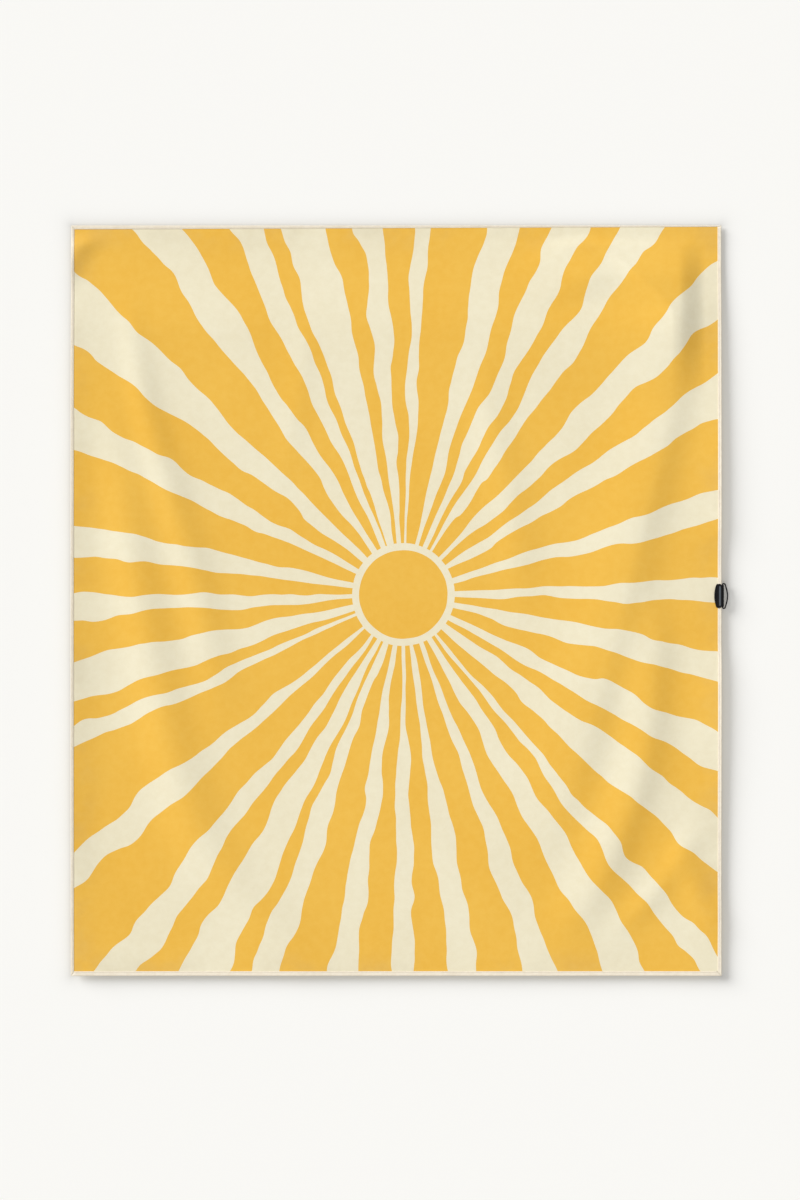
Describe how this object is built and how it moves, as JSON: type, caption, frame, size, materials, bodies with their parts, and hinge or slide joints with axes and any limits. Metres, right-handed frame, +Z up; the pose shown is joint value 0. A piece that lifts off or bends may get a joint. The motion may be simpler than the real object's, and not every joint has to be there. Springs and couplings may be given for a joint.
{
  "type": "picnic blanket",
  "caption": "Rectangular printed cloth blanket, hung flat by its top edge, with bound edges, a corner pocket on its back and a webbing tab that holds a swinging loop.",
  "frame": {"origin": "on the back face of the top binding, at the middle of its length and of its width, where the blanket is held", "axes": "+Z up along the blanket's length, +Y out of its back towards the wall, +X to the right when the printed face is looked at"},
  "size_m": [1.313, 0.0187, 1.5],
  "materials": {
    "printed_cloth": "matt brushed cloth, printed",
    "binding_tape": "matt woven tape",
    "seam_thread": "twisted thread, slight sheen",
    "pocket_cloth": "matt plain cloth",
    "webbing": "woven webbing, slight sheen",
    "tab_thread": "twisted thread, slight sheen",
    "loop_cord": "satin, covered elastic cord"
  },
  "bodies": {
    "blanket": {"face_panel": "printed_cloth", "binding_top": "binding_tape", "binding_right": "binding_tape", "binding_bottom": "binding_tape", "binding_left": "binding_tape", "binding_seam_top": "seam_thread", "binding_seam_right": "seam_thread", "binding_seam_bottom": "seam_thread", "binding_seam_left": "seam_thread", "corner_pocket": "pocket_cloth", "pocket_seam": "seam_thread", "loop_tab": "webbing", "tab_stitching_front": "tab_thread", "tab_stitching_back": "tab_thread"},
    "loop": {"elastic_loop": "loop_cord"}
  },
  "joints": [
    {"name": "loop_swing", "type": "hinge", "parent": "blanket", "child": "loop", "pos_m": [0.6517, -0.00825, -0.737], "axis": [0, 0, 1], "range_deg": [-90, 90]}
  ]
}
